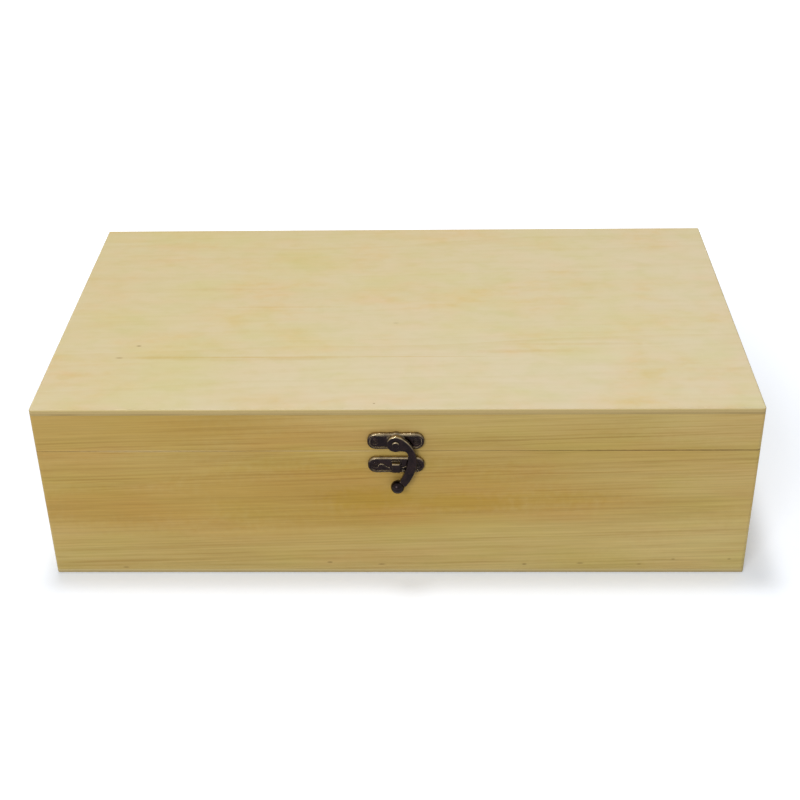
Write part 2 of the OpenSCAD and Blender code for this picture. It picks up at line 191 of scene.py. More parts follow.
# %% Helpers for groups and materials
def new_group(name, inputs, outputs):
    tree = bpy.data.node_groups.new(name, "ShaderNodeTree")
    for socket, kind, value in inputs:
        made = tree.interface.new_socket(name=socket, in_out="INPUT", socket_type="NodeSocket" + kind)
        if value is not None:
            made.default_value = value
    for socket in outputs:
        tree.interface.new_socket(name=socket, in_out="OUTPUT", socket_type="NodeSocketFloat")
    return tree, tree.nodes.new("NodeGroupInput").outputs, tree.nodes.new("NodeGroupOutput").inputs


def use_group(tree, group, inputs):
    return put(tree, "ShaderNodeGroup", inputs, node_tree=group).outputs


def new_material(name):
    material = bpy.data.materials.new(name)
    material.use_nodes = True
    tree = material.node_tree
    return material, tree, tree.nodes["Principled BSDF"], put(tree, "ShaderNodeTexCoord").outputs


print("helpers for groups and materials ready")

# %% [markdown]
# ## Growth rings
#
# Pine shows its years. Each ring starts with pale spring wood and darkens slowly into a narrow line of
# summer wood, then jumps back to pale. A picture of such lines would slide over the edges of a board; the
# real pattern goes right through it. So this group is a solid texture: it measures the distance from the
# pith, the middle of the tree, and cuts that distance into rings. The long faces then show lines, the
# sawn ends show arcs, and the lines meet at the corners by themselves. Slow noise bends the rings, and a
# random number for each ring makes some years strong and some faint.

# %% Group: growth rings
rings, r_in, r_out = new_group(
    "growth_rings",
    [
        ("Along", "Float", 0.0), ("Across", "Float", 0.0), ("Deep", "Float", 0.0),
        ("Pith Across", "Float", -0.15), ("Pith Deep", "Float", 0.05), ("Ring Width", "Float", 0.0022),
        ("Slope", "Float", 0.0), ("Wobble", "Float", 0.001), ("Seed", "Float", 0.0),
    ],
    ["Summer Wood"],
)
level = calc(rings, "SUBTRACT", r_in["Across"], times(rings, r_in["Along"], r_in["Slope"]))
across = calc(rings, "SUBTRACT", level, r_in["Pith Across"])
deep = calc(rings, "SUBTRACT", r_in["Deep"], r_in["Pith Deep"])
squares = calc(rings, "ADD", calc(rings, "POWER", across, 2.0), calc(rings, "POWER", deep, 2.0))
radius = calc(rings, "SQRT", squares)

bend_place = put(rings, "ShaderNodeCombineXYZ", {
    "X": times(rings, r_in["Along"], 5.0), "Y": times(rings, level, 22.0),
    "Z": calc(rings, "ADD", r_in["Seed"], times(rings, deep, 22.0)),
}).outputs[0]
bend = put(rings, "ShaderNodeTexNoise", {"Vector": bend_place, "Scale": 1.0, "Detail": 3.0, "Roughness": 0.45})
sway = calc(rings, "SUBTRACT", bend.outputs[0], 0.5)
shift = times(rings, sway, times(rings, r_in["Wobble"], 2.0))
spread_place = calc(rings, "MULTIPLY_ADD", radius, 55.0, r_in["Seed"])
spread = put(rings, "ShaderNodeTexNoise", {
    "W": spread_place, "Scale": 1.0, "Detail": 2.0}, noise_dimensions="1D")
turns = calc(rings, "DIVIDE", calc(rings, "ADD", radius, shift), r_in["Ring Width"])
turns = calc(rings, "ADD", turns, times(rings, spread.outputs[0], 4.0))

part = calc(rings, "FRACT", turns)
which_year = calc(rings, "ADD", calc(rings, "FLOOR", turns), r_in["Seed"])
year = put(rings, "ShaderNodeTexWhiteNoise", {"W": which_year}, noise_dimensions="1D").outputs[0]
rise = remap(rings, part, 0.25, 0.88, smooth=True)
fall = remap(rings, part, 0.90, 1.0, 1.0, 0.0, smooth=True)
strength = remap(rings, year, 0.0, 1.0, 0.15, 1.0)
rings.links.new(times(rings, times(rings, rise, fall), strength), r_out["Summer Wood"])
print("growth_rings has", len(rings.nodes), "nodes")

# %% [markdown]
# ## Fibres
#
# Between the rings wood is a bundle of long fibres. They show as very fine streaks, a hundred times longer
# than wide, and on a planed face also as faint ridges. They could be drawn as many thin lines, but one noise
# texture does the same when the coordinate along the grain is squeezed. A second noise on the same squeezed
# place, kept only where it is highest, gives the short open pores.

# %% Group: wood fibres
fibres, f_in, f_out = new_group(
    "wood_fibres",
    [
        ("Along", "Float", 0.0), ("Across", "Float", 0.0), ("Deep", "Float", 0.0),
        ("Fibre Size", "Float", 0.0004), ("Stretch", "Float", 90.0), ("Seed", "Float", 0.0),
    ],
    ["Streaks", "Pores"],
)
finer = calc(fibres, "DIVIDE", 1.0, f_in["Fibre Size"])
fibre_place = put(fibres, "ShaderNodeCombineXYZ", {
    "X": calc(fibres, "DIVIDE", times(fibres, f_in["Along"], finer), f_in["Stretch"]),
    "Y": times(fibres, f_in["Across"], finer),
    "Z": calc(fibres, "MULTIPLY_ADD", f_in["Deep"], finer, f_in["Seed"]),
}).outputs[0]
streak_look = {"Vector": fibre_place, "Scale": 0.5, "Detail": 4.0, "Roughness": 0.62}
streak_noise = put(fibres, "ShaderNodeTexNoise", streak_look)
pore_noise = put(fibres, "ShaderNodeTexNoise", {"Vector": fibre_place, "Scale": 1.7, "Detail": 1.0})
fibres.links.new(remap(fibres, streak_noise.outputs[0], 0.3, 0.7), f_out["Streaks"])
fibres.links.new(remap(fibres, pore_noise.outputs[0], 0.66, 0.78, smooth=True), f_out["Pores"])
print("wood_fibres has", len(fibres.nodes), "nodes")

# %% [markdown]
# ## Blotches
#
# Sap, finish and handling leave cloudy warm and cool patches on any board. A noise of larger size gives them,
# smoothed so that no patch has a hard edge. The group takes a place as a whole, so that each material can
# stretch its patches along its own grain first, and the seed is a fourth direction in which the pattern
# changes without moving.

# %% Group: blotches
blotches, b_in, b_out = new_group(
    "blotches",
    [("Place", "Vector", None), ("Patch Size", "Float", 0.05), ("Seed", "Float", 0.0)],
    ["Warm", "Cool"],
)
patch_scale = calc(blotches, "DIVIDE", 1.0, b_in["Patch Size"])
for socket, offset in (("Warm", 0.0), ("Cool", 17.3)):
    moved = vector_math(blotches, "ADD", b_in["Place"], (0.4 + offset, 1.3, 1.0))[0]
    cloud_look = {"Vector": moved, "W": b_in["Seed"], "Scale": patch_scale, "Detail": 3.0, "Roughness": 0.5}
    cloud = put(blotches, "ShaderNodeTexNoise", cloud_look, noise_dimensions="4D").outputs[0]
    blotches.links.new(remap(blotches, cloud, 0.42, 0.72, smooth=True), b_out[socket])
print("blotches has", len(blotches.nodes), "nodes")

# %% [markdown]
# ## Marks in known places
#
# Some marks belong to this very box: beads of resin, tiny knots, an orange flush under the latch, a thin
# brown streak along the top. Noise can't put them where they are, so this group draws one soft spot
# of a given size at a given point, and a material uses it once for each mark.

# %% Group: one soft spot
spot, s_in, s_out = new_group(
    "soft_spot",
    [("Place", "Vector", None), ("Centre", "Vector", None), ("Size", "Vector", None), ("Ragged", "Float", 0.3)],
    ["Mask"],
)
ragged = put(spot, "ShaderNodeTexNoise", {"Vector": s_in["Place"], "Scale": 260.0, "Detail": 3.0}).outputs[0]
away = vector_math(spot, "SUBTRACT", s_in["Place"], s_in["Centre"])[0]
away = vector_math(spot, "DIVIDE", away, s_in["Size"])[0]
reach = put(spot, "ShaderNodeVectorMath", {0: away}, operation="LENGTH").outputs["Value"]
wave = times(spot, calc(spot, "SUBTRACT", ragged, 0.5), s_in["Ragged"])
spot.links.new(remap(spot, calc(spot, "ADD", reach, wave), 1.0, 0.2, smooth=True), s_out["Mask"])


def marks(tree, place, spots, ragged_by=0.4):
    """The strongest of several spots, each given as centre and size in millimetres and a strength."""
    masks = []
    for centre, size, power in spots:
        mask = use_group(tree, spot, {
            "Place": place, "Centre": [v * MM for v in centre], "Size": [v * MM for v in size],
            "Ragged": ragged_by,
        })["Mask"]
        masks.append(times(tree, mask, power))
    return strongest(tree, masks)


def paint_marks(tree, color, place, spots, ragged_by, paint, kind="MIX"):
    if not spots:
        return color
    return blend_colors(tree, marks(tree, place, spots, ragged_by), color, paint, kind)


print("soft_spot has", len(spot.nodes), "nodes")

# %% [markdown]
# ## Strong years
#
# Some years leave a line that the eye follows right across a board. Those of the front board were measured,
# each as a height in the middle of the board and a slope, and this group draws one of them: a soft line
# that wanders a little, is broader in one place and nearly gone in another.

# %% Group: one strong year
strong_year, y_in, y_out = new_group(
    "strong_year",
    [("Along", "Float", 0.0), ("Across", "Float", 0.0), ("Height", "Float", 0.0), ("Slope", "Float", 0.03),
     ("Width", "Float", 0.001), ("Seed", "Float", 0.0)],
    ["Mask"],
)


def slow_noise(place, detail):
    noise_look = {"W": place, "Scale": 1.0, "Detail": detail}
    return put(strong_year, "ShaderNodeTexNoise", noise_look, noise_dimensions="1D").outputs[0]


wander = slow_noise(calc(strong_year, "MULTIPLY_ADD", y_in["Along"], 16.0, y_in["Seed"]), 3.0)
line_height = calc(strong_year, "MULTIPLY_ADD", y_in["Along"], y_in["Slope"], y_in["Height"])
line_height = calc(strong_year, "ADD", line_height, remap(strong_year, wander, 0.0, 1.0, -0.0012, 0.0012))
off_line = calc(strong_year, "SUBTRACT", y_in["Across"], line_height)
off_line = calc(strong_year, "DIVIDE", off_line, y_in["Width"])
fade_seed = times(strong_year, y_in["Seed"], 7.3)
fade = slow_noise(calc(strong_year, "MULTIPLY_ADD", y_in["Along"], 24.0, fade_seed), 2.0)
line = remap(strong_year, calc(strong_year, "ABSOLUTE", off_line), 1.0, 0.0, smooth=True)
line = times(strong_year, line, remap(strong_year, fade, 0.32, 0.62, 0.25, 1.0))
strong_year.links.new(line, y_out["Mask"])
print("strong_year has", len(strong_year.nodes), "nodes")

# %% [markdown]
# ## Pine
#
# The walls are thin pine boards, sanded and given a thin clear coat that has turned them honey yellow. The
# colour is built up as the wood is: pale spring wood, darker summer wood over it, fine streaks that crowd
# together in one place and thin out in another, cloudy patches and last the single marks. Where the boards
# meet the top panel, a broken brown line of glue shows. A wire that turns the axes lets the same recipe
# serve the end boards, whose grain runs from front to back.


# %% Pine: its patterns
def drawn_along(tree, place, grain_along, share):
    """The place cut down to a share along the grain, so that a pattern on it comes out longer that way."""
    scale = (share, 1.0, 1.0) if grain_along == "X" else (1.0, share, 1.0)
    return vector_math(tree, "MULTIPLY", place, scale)[0]


def pine_streaks(tree, axes, slope, seed):
    """Streaks of four sizes, all along the board's own slope: fine, lines, hairs and broad."""
    tilted = calc(tree, "SUBTRACT", axes["Across"], times(tree, axes["Along"], slope))
    kinds = ((0.40, 60.0, 0.0), (0.75, 75.0, 0.0), (0.55, 26.0, 9.0), (3.2, 45.0, 0.0))
    return [use_group(tree, fibres, {
        **axes, "Across": tilted, "Seed": seed + more_seed, "Fibre Size": size_mm * MM, "Stretch": stretch,
    }) for size_mm, stretch, more_seed in kinds]


def year_lines(tree, axes, seed, years):
    masks = []
    for k, (height, lean, width, power) in enumerate(years):
        mask = use_group(tree, strong_year, {
            "Along": axes["Along"], "Across": axes["Across"], "Height": height * MM, "Slope": lean,
            "Width": width * MM, "Seed": seed + 3.1 * k})["Mask"]
        masks.append(times(tree, mask, power))
    return strongest(tree, masks)


print("pine patterns ready")

# %% [markdown]
# ## Pine as one material
#
# The function below stacks those patterns into a material. Each tint is weak, because wood never changes
# colour by much from one spot to the next, and it is the many weak layers that make it look like wood. The
# summer wood is harder and shinier than the spring wood, so the same mask that darkens it also lowers its
# roughness and lifts it a little in the bump.


# %% Material: pine
def pine_material(name, grain_along, seed, pith, ring_width, slope, deep=(), pale=(), flush=(), years=(),
                  resin_and_cut_shade_spots=(), cut_highlight_spots=()):
    material, tree, shader, coords = new_material(name)
    place = coords["Object"]
    xyz = put(tree, "ShaderNodeSeparateXYZ", {0: place}).outputs
    along, depth = (xyz["X"], xyz["Y"]) if grain_along == "X" else (xyz["Y"], xyz["X"])
    axes = {"Along": along, "Across": xyz["Z"], "Deep": depth, "Seed": seed}
    summer = use_group(tree, rings, {
        **axes, "Pith Across": pith[0] * MM, "Pith Deep": pith[1] * MM, "Ring Width": ring_width * MM,
        "Slope": slope, "Wobble": 1.2 * MM,
    })["Summer Wood"]
    fine, lines, hairs, broad = pine_streaks(tree, axes, slope, seed)
    squeezed = drawn_along(tree, place, grain_along, 0.3)
    cloud = use_group(tree, blotches, {"Place": squeezed, "Patch Size": 0.016, "Seed": seed})
    wide = use_group(tree, blotches, {"Place": squeezed, "Patch Size": 0.05, "Seed": seed + 2.0})
    long_place = drawn_along(tree, place, grain_along, 0.16)
    crowded = use_group(tree, blotches, {"Place": long_place, "Patch Size": 0.009, "Seed": seed + 5.5})

    # the ground colour, with its deep, pale and flushed zones
    zone = times(tree, wide["Warm"], 0.35)
    if deep:
        zone = calc(tree, "ADD", zone, marks(tree, place, deep, 0.5), clamp=True)
    color = blend_colors(tree, zone, srgb(200, 174, 107), srgb(191, 156, 78))
    color = paint_marks(tree, color, place, pale, 0.5, srgb(208, 187, 122))
    color = paint_marks(tree, color, place, flush, 0.9, srgb(186, 150, 58))
    color = tint(tree, times(tree, cloud["Warm"], 0.9), color, 1.025, 0.96, 0.99)
    color = tint(tree, times(tree, cloud["Cool"], 0.9), color, 0.97, 1.01, 0.88)

    # summer wood and streaks, all darker and warmer than the ground
    summer = times(tree, summer, remap(tree, broad["Streaks"], 0.0, 1.0, 0.15, 1.0))
    color = tint(tree, times(tree, summer, 0.65), color, 0.80, 0.73, 0.60)
    crowd = times(tree, lines["Streaks"], remap(tree, crowded["Warm"], 0.0, 1.0, 0.28, 0.85))
    color = tint(tree, crowd, color, 0.82, 0.76, 0.63)
    hair = times(tree, hairs["Streaks"], remap(tree, crowded["Cool"], 0.0, 1.0, 0.15, 0.75))
    color = tint(tree, hair, color, 0.87, 0.82, 0.70)
    color = tint(tree, times(tree, broad["Streaks"], 0.22), color, 0.90, 0.86, 0.76)
    if years:
        color = tint(tree, year_lines(tree, axes, seed, years), color, 0.76, 0.68, 0.52)
    color = shade_by(tree, color, fine["Streaks"], 0.93, 1.05)

    # single marks, a painted shade and a painted highlight along the saw cut, and glue under the top panel
    color = paint_marks(tree, color, place, resin_and_cut_shade_spots, 0.5, srgb(128, 98, 50))
    color = paint_marks(tree, color, place, cut_highlight_spots, 0.8, srgb(232, 212, 160))
    glue_line = times(tree, remap(tree, xyz["Z"], 95.5 * MM, 95.9 * MM, smooth=True), cloud["Warm"])
    color = blend_colors(tree, times(tree, glue_line, 0.35), color, srgb(120, 92, 50))
    tree.links.new(color, shader.inputs["Base Color"])

    tree.links.new(remap(tree, summer, 0.0, 1.0, 0.56, 0.46), shader.inputs["Roughness"])
    height = calc(tree, "ADD", times(tree, fine["Streaks"], 0.5), times(tree, summer, 0.4))
    height = calc(tree, "SUBTRACT", height, times(tree, fine["Pores"], 0.4))
    bump = put(tree, "ShaderNodeBump", {"Height": height, "Strength": 0.10, "Distance": 0.0004})
    tree.links.new(bump.outputs[0], shader.inputs["Normal"])
    shader.inputs["Specular IOR Level"].default_value = 0.25
    return material


pine_back = pine_material("pine_back", "X", 11.0, (-95, 60), 2.6, -0.012)
pine_left = pine_material("pine_left", "Y", 23.0, (-70, -140), 2.4, 0.015)
pine_right = pine_material("pine_right", "Y", 31.0, (150, 160), 3.1, -0.02)
print("made", [m.name for m in (pine_back, pine_left, pine_right)])

# %% [markdown]
# ## The front board and its marks
#
# The front boards of base and lid were one board until the saw parted them, so both use one material with
# one seed, and their lines run on across the cut. Everything that can be recognised on this board was
# measured: beads of resin near the bottom, deeper and paler zones, an orange flush below the latch and strong
# years. Along the cut lie a painted highlight at the left and a painted shade at the right.


# %% Marks of the front board
def on_front(half_depth, rows):
    """Spots as middle along and up, half length, half height (all in mm) and strength."""
    return [((x, -100, z), (w, half_depth, h), power) for x, z, w, h, power in rows]


# dark beads of resin, and last a painted shade along the right part of the saw cut
resin_and_cut_shade = on_front(3, [
    (-34.7, 7.4, 2.0, 0.8, 0.55), (-8.3, 6.1, 2.6, 0.7, 0.5), (63.8, 6.1, 1.6, 0.8, 0.6),
    (92.0, 6.7, 2.4, 0.7, 0.5), (121.8, 6.1, 1.8, 0.7, 0.5), (138.7, 9.3, 1.4, 0.6, 0.45),
    (166.8, 9.3, 1.4, 0.7, 0.5), (-139, 4.2, 2.2, 0.8, 0.4), (150, 75.5, 130, 0.55, 0.7),
])
# a painted highlight along the left part of the saw cut
cut_edge_highlight = on_front(3, [
    (-120, 75.5, 62, 0.75, 0.36), (-35, 75.5, 50, 0.7, 0.30), (30, 75.5, 30, 0.6, 0.10),
])
deep_zones = on_front(20, [
    (-150, 86, 150, 34, 0.6), (-130, 62, 120, 24, 0.55), (130, 84, 130, 16, 0.25), (-20, 50, 215, 36, 0.85),
    (-130, 44, 120, 22, 0.8), (60, 72, 150, 22, 0.35), (-40, 80, 90, 14, 0.5),
])
pale_zones = on_front(20, [
    (-60, 3, 170, 9, 0.55), (70, 3, 200, 9, 0.75), (150, 3, 90, 9, 0.5), (168, 12, 110, 40, 0.95),
    (-150, 8, 90, 16, 0.3), (160, 90, 80, 18, 0.55), (60, 20, 150, 20, 0.45), (140, 60, 80, 18, 0.35),
])
flushes = on_front(20, [
    (-14, 47, 34, 10, 0.85), (32, 45, 44, 7, 0.7), (80, 47, 40, 6, 0.3), (-30, 64, 34, 7, 0.2),
])
front_years = [  # height in the middle in mm, slope, half the width in mm, strength
    (90.4, 0.032, 0.8, 0.42), (81.8, 0.028, 0.9, 0.60), (79.4, 0.036, 0.8, 0.58), (76.7, 0.032, 0.7, 0.42),
    (67.5, 0.033, 0.7, 0.25), (63.9, 0.033, 0.9, 0.54), (62.0, 0.033, 0.7, 0.48), (59.6, 0.033, 0.8, 0.48),
    (57.4, 0.032, 0.7, 0.30), (50.0, 0.027, 0.9, 0.36), (46.4, 0.021, 0.8, 0.28), (37.4, 0.026, 1.0, 0.28),
    (21.1, 0.036, 0.9, 0.42), (15.5, 0.024, 1.0, 0.46), (10.9, 0.020, 1.0, 0.42), (6.9, 0.011, 0.9, 0.40),
    (87.3, 0.031, 0.5, 0.32), (84.6, 0.030, 0.5, 0.36), (78.0, 0.034, 0.5, 0.40), (74.6, 0.033, 0.5, 0.34),
    (72.2, 0.032, 0.5, 0.36), (70.1, 0.033, 0.5, 0.30), (65.6, 0.033, 0.5, 0.34), (53.4, 0.030, 0.5, 0.30),
]
pine_front = pine_material("pine_front", "X", 3.0, (-120, -40), 1.9, 0.030, deep_zones, pale_zones, flushes,
                           front_years, resin_and_cut_shade, cut_edge_highlight)
print("pine_front has", len(front_years), "strong years and", len(resin_and_cut_shade), "dark marks")

# %% [markdown]
# ## Plywood
#
# The top and the bottom are three thin layers of pale veneer. The outer ones are peeled off a turning log,
# which cuts along the rings at a shallow angle and gives wide, soft, flame-like figure in place of fine
# lines. The middle layer lies crosswise, so on the panel's edge it shows its darker end grain, with a thin
# line of glue at each side. As the height inside the panel says which layer a point lies in, the layers
# are a solid texture too, and they come out on all four edges and inside the sanded rim.


# %% Plywood: its edge
def ply_edge(tree, xyz, level_axis, height, other, seed, cool, edge_color, core, below):
    """The colour of the layers, and how much glue lies at a point."""
    middle = calc(tree, "ABSOLUTE", calc(tree, "SUBTRACT", height, 0.5))
    is_core = remap(tree, middle, 0.235, 0.225)
    glue = remap(tree, calc(tree, "ABSOLUTE", calc(tree, "SUBTRACT", middle, 0.235)), 0.035, 0.012)
    cross = use_group(tree, fibres, {
        "Along": other, "Across": xyz["X"], "Deep": xyz[level_axis], "Seed": seed + 5, "Fibre Size": 0.35 * MM,
        "Stretch": 40.0})
    layer = blend_colors(tree, is_core, edge_color, core)
    layer = tint(tree, times(tree, cross["Streaks"], 0.35), layer, 0.86, 0.83, 0.76)
    layer = blend_colors(tree, times(tree, glue, 0.25), layer, srgb(128, 104, 66))
    # darker towards the panel's lower edge; on the bottom panel this grey is painted shade
    if below:
        from_height, to_height, power, shade_color = below
        low_edge = remap(tree, height, from_height, to_height, smooth=True)
        low_edge = times(tree, low_edge, remap(tree, cool, 0.0, 1.0, power * 0.5, power))
        layer = blend_colors(tree, low_edge, layer, shade_color)
    return layer, glue


print("plywood edge ready")

# %% [markdown]
# ## Plywood as one material
#
# Peeled veneer is nearly one colour, and what life it has lies in soft patches of three sizes, each a little
# warmer or greener than the ground. The face and the edge are both worked out everywhere, and the direction
# that a point faces then picks one of them, so the sanded rim passes softly from face to edge.


# %% Material: plywood
def plywood_material(name, low, high, level_axis, seed, face, edge_color, core, spots=(), streaks=(),
                     warm_spots=(), below=None):
    material, tree, shader, coords = new_material(name)
    place = coords["Object"]
    xyz = put(tree, "ShaderNodeSeparateXYZ", {0: place}).outputs
    other = xyz["Y"] if level_axis == "Z" else xyz["Z"]
    axes = {"Along": xyz["X"], "Across": other, "Deep": xyz[level_axis], "Seed": seed}
    height = remap(tree, xyz[level_axis], low * MM, high * MM)
    figure = use_group(tree, rings, {
        **axes, "Pith Across": -0.35, "Pith Deep": 0.35, "Ring Width": 0.021, "Slope": 0.05, "Wobble": 0.030,
    })["Summer Wood"]
    fine = use_group(tree, fibres, {**axes, "Fibre Size": 0.5 * MM, "Stretch": 60.0})
    broad = use_group(tree, fibres, {**axes, "Fibre Size": 4.5 * MM, "Stretch": 14.0})
    flat = drawn_along(tree, place, "X", 0.60)
    cloud = use_group(tree, blotches, {"Place": flat, "Patch Size": 0.030, "Seed": seed})
    flecks = use_group(tree, blotches, {"Place": flat, "Patch Size": 0.0065, "Seed": seed + 8.0})
    mottle = use_group(tree, blotches, {"Place": flat, "Patch Size": 0.013, "Seed": seed + 3.0})

    sweep = calc(tree, "SUBTRACT", times(tree, xyz["X"], 2.0), times(tree, other, 3.0))
    color = blend_colors(tree, remap(tree, sweep, -0.5, 0.5, smooth=True), face[0], face[1])
    flame = times(tree, figure, remap(tree, broad["Streaks"], 0.0, 1.0, 0.1, 0.6))
    for share, tone in (
        (flame, (0.93, 0.88, 0.74)),
        (cloud["Warm"], (1.02, 0.965, 0.93)),
        (cloud["Cool"], (0.97, 0.99, 0.86)),
        (times(tree, flecks["Warm"], cloud["Warm"]), (1.0, 0.94, 0.82)),
        (times(tree, flecks["Cool"], 0.8), (0.965, 0.97, 0.90)),
        (times(tree, mottle["Cool"], 0.9), (0.965, 0.98, 0.91)),
        (times(tree, mottle["Warm"], 0.9), (1.015, 0.985, 0.985)),
    ):
        color = tint(tree, share, color, *tone)
    color = paint_marks(tree, color, place, warm_spots, 1.2, (1.02, 0.93, 0.84, 1.0), "MULTIPLY")
    color = paint_marks(tree, color, place, streaks, 0.7, (0.90, 0.80, 0.58, 1.0), "MULTIPLY")
    color = paint_marks(tree, color, place, spots, 0.5, srgb(132, 100, 62))
    color = shade_by(tree, color, fine["Streaks"], 0.99, 1.01)

    layer, glue = ply_edge(tree, xyz, level_axis, height, other, seed, cloud["Cool"], edge_color, core, below)
    facing = put(tree, "ShaderNodeSeparateXYZ", {0: coords["Normal"]}).outputs[level_axis]
    on_edge = remap(tree, calc(tree, "ABSOLUTE", facing), 0.85, 0.55)
    tree.links.new(blend_colors(tree, on_edge, color, layer), shader.inputs["Base Color"])

    tree.links.new(remap(tree, fine["Streaks"], 0.0, 1.0, 0.62, 0.54), shader.inputs["Roughness"])
    bump_height = calc(tree, "SUBTRACT", fine["Streaks"], times(tree, fine["Pores"], 0.5))
    bump_height = calc(tree, "SUBTRACT", bump_height, times(tree, glue, 0.8))
    bump = put(tree, "ShaderNodeBump", {"Height": bump_height, "Strength": 0.06, "Distance": 0.0002})
    tree.links.new(bump.outputs[0], shader.inputs["Normal"])
    shader.inputs["Specular IOR Level"].default_value = 0.10
    return material


print("plywood ready")

# %% [markdown]
# ## The three panels
#
# The top carries a long brown streak with paler ones beside it, four small knots and a few warm places. Its
# edge turns darker and browner towards the bottom, and the bottom panel's edge turns greyer towards its
# bottom, which is painted shade. The divider stands upright, so its layers lie across the box, and its level
# is counted along Y.


# %% Plywood of the top, the bottom and the divider
def on_top(half_depth, rows):
    """Spots as middle along and back, half length, half width (all in mm) and strength."""
    return [((x, y, 99), (w, d, half_depth), power) for x, y, w, d, power in rows]


top_streaks = on_top(4, [
    (-75, -50.3, 72, 0.9, 0.85), (-120, -50.5, 24, 2.2, 0.6), (-96, -51.3, 44, 3.4, 0.35),
    (-52, -51.6, 30, 3.0, 0.40), (-40, -50.6, 26, 2.4, 0.45), (10, -50.2, 60, 0.7, 0.5),
    (62, -45.0, 42, 2.6, 0.35), (95, -38.0, 60, 2.0, 0.28), (-60, 3.0, 48, 1.6, 0.28), (-100, 24, 40, 2.0, 0.2),
])
top_spots = on_top(3, [
    (-132.6, -38.4, 1.7, 0.8, 0.75), (-140.6, -50.5, 2.6, 0.9, 0.45), (-10.2, -94.5, 0.8, 0.7, 0.6),
    (-1.4, -15.2, 2.2, 0.5, 0.4),
])
top_flush = on_top(6, [
    (-128, 78, 34, 9, 0.5), (-160, 87, 18, 6, 0.35), (-20, 10, 30, 7, 0.3), (-165, -66, 14, 3, 0.4),
    (-52, 58, 30, 8, 0.25),
])
top_ply = plywood_material(
    "plywood_top", 96, 99, "Z", 5.0, (srgb(212, 196, 154), srgb(218, 204, 171)), srgb(200, 178, 122),
    srgb(194, 170, 116), top_spots, top_streaks, top_flush, below=(0.36, 0.26, 0.50, srgb(128, 100, 54)))
# the grey towards the bottom of this panel's edge is painted shade
floor_ply = plywood_material(
    "plywood_floor", 0, 3, "Z", 14.0, (srgb(212, 196, 154), srgb(217, 203, 166)), srgb(206, 186, 132),
    srgb(200, 178, 126), below=(0.75, 0.25, 0.45, srgb(128, 116, 92)))
divider_ply = plywood_material(
    "plywood_divider", -2, 2, "Y", 41.0, (srgb(210, 192, 148), srgb(215, 198, 156)), srgb(184, 160, 110),
    srgb(172, 146, 98))
print("made", [m.name for m in (top_ply, floor_ply, divider_ply)])

# %% [markdown]
# ## Softened edges on the boards
#
# No sanded board has a razor edge, and a soft edge catches the light as a thin bright line. A CAD mesh comes
# with its faces split along sharp edges, so Weld joins them first. Its large flat faces are cut into long
# thin triangles, which would pull dark lines across the shading, so Decimate makes each flat face whole
# again. Bevel then rounds what is sharper than 30 degrees. All three are modifiers, so the CAD mesh itself
# stays as it is.

# %% Edges of the wooden parts
WELD_WITHIN = 1e-6
FLAT_WITHIN = math.radians(0.5)
SHARP_FROM = math.radians(30)


def soften(node, radius_mm):
    weld = node.modifiers.new("join_faces", "WELD")
    weld.merge_threshold = WELD_WITHIN
    whole = node.modifiers.new("whole_faces", "DECIMATE")
    whole.decimate_type = "DISSOLVE"
    whole.angle_limit = FLAT_WITHIN
    bevel = node.modifiers.new("sanded_edges", "BEVEL")
    bevel.width = radius_mm * MM
    bevel.segments = 2
    bevel.limit_method = "ANGLE"
    bevel.angle_limit = SHARP_FROM
    bevel.harden_normals = True


def dress(name, material, radius_mm):
    node = nodes[name]
    node.data.materials.clear()
    node.data.materials.append(material)
    for face in node.data.polygons:
        face.material_index = 0
    soften(node, radius_mm)


wooden = {
    "base_front_wall": pine_front, "lid_front_rail": pine_front, "base_back_wall": pine_back,
    "lid_back_rail": pine_back, "base_left_wall": pine_left, "lid_left_rail": pine_left,
    "base_right_wall": pine_right, "lid_right_rail": pine_right, "lid_top_panel": top_ply,
    "base_floor_panel": floor_ply, "bottle_divider": divider_ply,
}
for name, material in wooden.items():
    dress(name, material, 0.08)
print("dressed", len(wooden), "wooden parts")

# %% [markdown]
# ## Wear on edges
#
# The latch and the hinges are cheap castings plated dark to look like old bronze. Fingers rub the plating
# off wherever the metal stands out, and brassy metal shines through there. To find such places a shader can
# compare the true surface direction with a blurred one, which the Bevel node gives: the two differ only
# near an edge. The wear group turns that difference into a mask and breaks it up with noise, because
# real wear is never an even line.

# %% Group: wear on edges
wear, w_in, w_out = new_group(
    "edge_wear",
    [("Place", "Vector", None), ("Reach", "Float", 0.0005), ("Amount", "Float", 1.0), ("Seed", "Float", 0.0)],
    ["Worn", "Grime"],
)
blurred = put(wear, "ShaderNodeBevel", {"Radius": w_in["Reach"]}, samples=16).outputs[0]
true_way = put(wear, "ShaderNodeNewGeometry").outputs["Normal"]
agree = vector_math(wear, "DOT_PRODUCT", blurred, true_way)["Value"]
edge = remap(wear, agree, 0.995, 0.88)
patchy = put(wear, "ShaderNodeTexNoise", {
    "Vector": w_in["Place"], "W": w_in["Seed"], "Scale": 240.0, "Detail": 3.0, "Roughness": 0.5,
}, noise_dimensions="4D").outputs[0]
broken = remap(wear, calc(wear, "ADD", edge, times(wear, patchy, 0.8)), 0.85, 1.25, smooth=True)
wear.links.new(calc(wear, "MULTIPLY", broken, w_in["Amount"], clamp=True), w_out["Worn"])
wear.links.new(remap(wear, patchy, 0.35, 0.65), w_out["Grime"])
print("edge_wear has", len(wear.nodes), "nodes")
